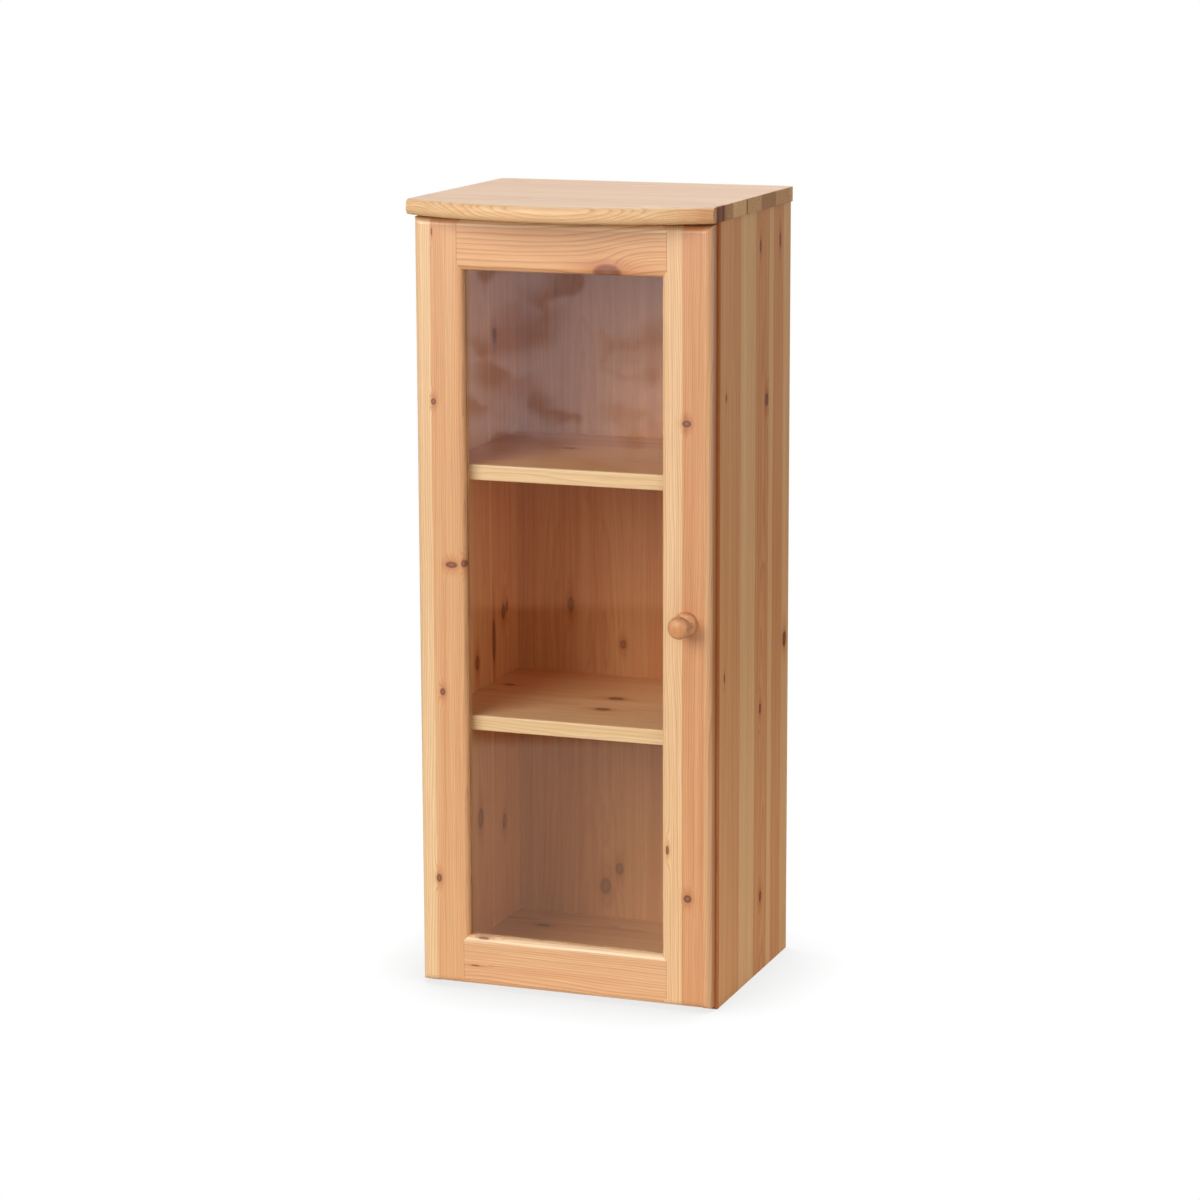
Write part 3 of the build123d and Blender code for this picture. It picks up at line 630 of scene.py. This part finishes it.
def stuff(name, light, dark, cell, gloss, **constants):
    """A plain stuff whose tone and roughness wander, in cells of its own size in millimetres.

    The cells are fibres of beech, crystals of zinc, brushed lines of brass or a mould's grain.
    """
    material = bpy.data.materials.new(name)
    material.use_nodes = True
    tree = material.node_tree
    tree.nodes.clear()
    spot = add(tree, "TexCoord", out="Object")
    cells = [1000.0 / side for side in cell]
    cells = add(tree, "VectorMath", spot, cells, operation="MULTIPLY", out="Vector")
    cloud = add(tree, "TexNoise", cells, 1.0, 3.0, 0.6)
    share = add(tree, "MapRange", cloud, noise_low, noise_high, 0.0, 1.0)
    colour = add(tree, "Mix", share, linear(light), linear(dark), data_type="RGBA")
    rough = add(tree, "MapRange", cloud, noise_low, noise_high, *gloss)
    grain_strength, grain_height = 0.1, 0.00005
    felt = add(tree, "Bump", named={
        "Strength": grain_strength, "Distance": grain_height, "Height": cloud,
    })
    surface = add(tree, "BsdfPrincipled", named={
        "Base Color": colour, "Roughness": rough, "Normal": felt, **constants,
    })
    add(tree, "OutputMaterial", surface)
    return material


# Beech: pinkish tan with short darker flecks, unfinished.
beech_pale, beech_dark = "dcb68e", "c39464"
finish(stuff("beech_upright", beech_pale, beech_dark, (0.4, 0.4, 4.0), (0.55, 0.7)), "top_dowels")
finish(
    stuff("beech_level", beech_pale, beech_dark, (4.0, 0.4, 0.4), (0.55, 0.7)),
    "bottom_dowels", "rail_dowels", "door_dowels",
)


# Nails, brads and shelf supports. Plain steel: drawn wire for the nails and brads, and pressed
# and zinc-plated for the supports. All are pushed or driven into the wood.

# Bright drawn steel wire, with fine lines along the drawing.
wire = stuff("steel_wire", "c4c4c2", "a9a9a8", (0.3, 3.0, 0.3), (0.28, 0.40), Metallic=1.0)
finish(wire, "back_nails", "glazing_brads")

# Zinc-plated steel: bluish grey, faintly mottled.
zinc_light, zinc_dark = "c9ccd0", "b0b4ba"
zinc = stuff("zinc_plate", zinc_light, zinc_dark, (1.2, 1.2, 1.2), (0.26, 0.38), Metallic=1.0)
finish(zinc, "shelf_supports_upper", "shelf_supports_lower", "strike_plate", "catch_plates")


# Hinges. Two butt hinges at the left, folded from brass-plated steel around their pins. Each leaf
# is let into its wood and held by three screws.

# Brass-plated steel: yellow, brushed along the leaf, its lacquer slightly worn.
brass_light, brass_dark = "d9b56a", "bf9648"
brass_leaf = stuff(
    "brass_plate", brass_light, brass_dark, (0.25, 0.25, 6.0), (0.22, 0.36), Metallic=1.0,
)
finish(
    brass_leaf, "side_leaf_lower", "side_leaf_upper", "door_leaf_lower", "door_leaf_upper",
    "hinge_pin_lower", "hinge_pin_upper",
)


# Catch. A moulded housing under the top board holds a ferrite magnet between two steel plates,
# which meet the strike plate on the door. Clear pads soften the closing.

# Moulded ABS plastic, pine brown, with a fine spark-eroded grain.
brown_abs = stuff("abs_brown", "8f5f3a", "865634", (0.5, 0.5, 0.5), (0.38, 0.50), IOR=1.54)
finish(brown_abs, "catch_housing")

# Sintered ferrite: dark grey, dull, slightly grainy.
finish(stuff("ferrite_magnet", "47474a", "363639", (0.4, 0.4, 0.4), (0.45, 0.60)), "catch_magnet")

# Clear silicone rubber: colourless and soft, slightly hazy.
finish(stuff(
    "silicone_clear", "f4f6f5", "e9ecea", (2.0, 2.0, 2.0), (0.18, 0.30), IOR=1.41,
    **{"Transmission Weight": 0.85},
), "door_bumpers")


# Screws. Steel wood screws with a cross recess and a rolled thread: sunk and brass-plated in the
# hinges, sunk and zinc-plated in the catch and its strike, and round-headed behind the knob.

def solids(name):
    """The boxes of a CAD node's separate solids, each as its lowest and highest corner."""
    shape = bmesh.new()
    shape.from_mesh(nodes[name].data)
    bmesh.ops.remove_doubles(shape, verts=shape.verts[:], dist=1e-6)
    seen, boxes = set(), []
    for start in shape.verts:
        if start in seen:
            continue
        seen.add(start)
        front, places = [start], []
        while front:
            vert = front.pop()
            places.append(vert.co.copy())
            for edge in vert.link_edges:
                beside = edge.other_vert(vert)
                if beside not in seen:
                    seen.add(beside)
                    front.append(beside)
        corners = [[pick(p[i] for p in places) for i in range(3)] for pick in (min, max)]
        boxes.append([Vector(corner) for corner in corners])
    shape.free()
    return boxes


def screw(shape, place, out, length, shank, head, crown):
    """Adds a screw whose head rests at the place and looks outwards. A crown makes it round.

    Lengths are metres; the shank and the head are radii, and the crown is a round head's height.
    """
    before = set(shape.verts)
    core, neck = 0.72 * shank, -0.35 * length
    if crown:
        profile = [(0.62 * head, crown), (0.90 * head, 0.62 * crown), (head, 0.15 * crown)]
        profile += [(head, 0.0), (shank, 0.0)]
    else:
        profile = [(head, 0.0), (shank, shank - head)]
    profile += [(shank, neck), (core, neck - 0.3 * core), (core, 2.2 * core - length)]
    profile += [(0.0, -length)]
    line = [shape.verts.new((r, 0.0, z)) for r, z in profile]
    edges = [shape.edges.new(pair) for pair in zip(line, line[1:])]
    turned = dict(cent=(0, 0, 0), axis=(0, 0, 1))
    bmesh.ops.spin(shape, geom=line + edges, angle=2 * pi, steps=24, use_merge=True, **turned)
    bmesh.ops.remove_doubles(shape, verts=[v for v in shape.verts if v not in before], dist=1e-6)

    # The top of the head, around the recess, whose walls narrow to its floor.
    top, rim = profile[0][1], profile[0][0]
    round_top = {
        v for v in shape.verts
        if v not in before and abs(v.co.z - top) < 1e-7 and v.co.xy.length > 0.99 * rim
    }
    ring = [e for e in shape.edges if e.is_boundary and round_top.issuperset(e.verts)]
    arm, half, depth = 0.60 * rim, 0.17 * rim, 0.5 * rim
    cross = [
        shape.verts.new(Matrix.Rotation(k * pi / 2, 3, "Z") @ Vector((x, y, top)))
        for k in range(4) for x, y in ((arm, -half), (arm, half), (half, half))
    ]
    outline = [shape.edges.new((cross[i - 1], cross[i])) for i in range(len(cross))]
    bmesh.ops.triangle_fill(shape, use_beauty=True, edges=ring + outline, normal=(0, 0, 1))
    wall = bmesh.ops.extrude_edge_only(shape, edges=outline)["geom"]
    low = [v for v in wall if isinstance(v, bmesh.types.BMVert)]
    bmesh.ops.scale(shape, verts=low, vec=(0.5, 0.5, 1.0))
    bmesh.ops.translate(shape, verts=low, vec=(0.0, 0.0, -depth))
    bmesh.ops.edgeloop_fill(shape, edges=[e for e in wall if isinstance(e, bmesh.types.BMEdge)])

    # The thread: a ridge wound up the core.
    pitch = 0.9 * shank
    foot = 2.4 * core - length
    turns = int((neck - foot) / pitch)
    tooth = ((0.95 * core, 0.0), (shank, 0.2 * pitch), (0.95 * core, 0.4 * pitch))
    ridge = shape.faces.new([shape.verts.new((r, 0.0, foot + z)) for r, z in tooth])
    ridge = [ridge] + ridge.verts[:] + ridge.edges[:]
    bmesh.ops.spin(
        shape, geom=ridge, angle=2 * pi * turns, steps=16 * turns, dvec=(0, 0, pitch / 16),
        **turned,
    )
    new = [v for v in shape.verts if v not in before]
    turn = Vector(out).to_track_quat("Z", "X").to_matrix().to_4x4()
    bmesh.ops.transform(shape, matrix=Matrix.Translation(place) @ turn, verts=new)


# The same platings on screws: mottled in smaller cells.
screw_cell = (0.8, 0.8, 0.8)
zinc_screw = stuff("zinc_screw", zinc_light, zinc_dark, screw_cell, (0.26, 0.38), Metallic=1.0)
brass_screw = stuff(
    "brass_screw", brass_light, brass_dark, screw_cell, (0.24, 0.36), Metallic=1.0,
)
for name, body, out, shank, crown, material, slot in (
    ("side_leaf_screws", "cabinet", (0, -1, 0), 0.0015, 0.0, brass_screw, "brassed_hinge"),
    ("door_leaf_screws", "door", (0, 1, 0), 0.0015, 0.0, brass_screw, "brassed_hinge"),
    ("catch_screws", "cabinet", (0, 0, -1), 0.0015, 0.0, zinc_screw, "bright_steel"),
    ("strike_screws", "door", (0, 1, 0), 0.0012, 0.0, zinc_screw, "bright_steel"),
    ("knob_screw", "door", (0, 1, 0), 0.0020, 0.0022, zinc_screw, "bright_steel"),
):
    shape = bmesh.new()
    out = Vector(out)
    for low, high in solids(name):
        middle, spread = (low + high) / 2, high - low
        long = abs(spread.dot(out))
        head = min(spread) / 2
        place = middle + out * (long / 2 - crown)
        screw(shape, place, out, long - crown, shank, head, crown)
    bmesh.ops.recalc_face_normals(shape, faces=shape.faces[:])
    mesh = bpy.data.meshes.new("cross_" + name)
    shape.to_mesh(mesh)
    shape.free()
    mesh.materials.append(material)
    piece = bpy.data.objects.new("cross_" + name, mesh)
    scene.collection.objects.link(piece)
    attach(piece, body)
    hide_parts(name)


size = {"cad": [list(v) for v in cad_box], "scene": [list(v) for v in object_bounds()]}
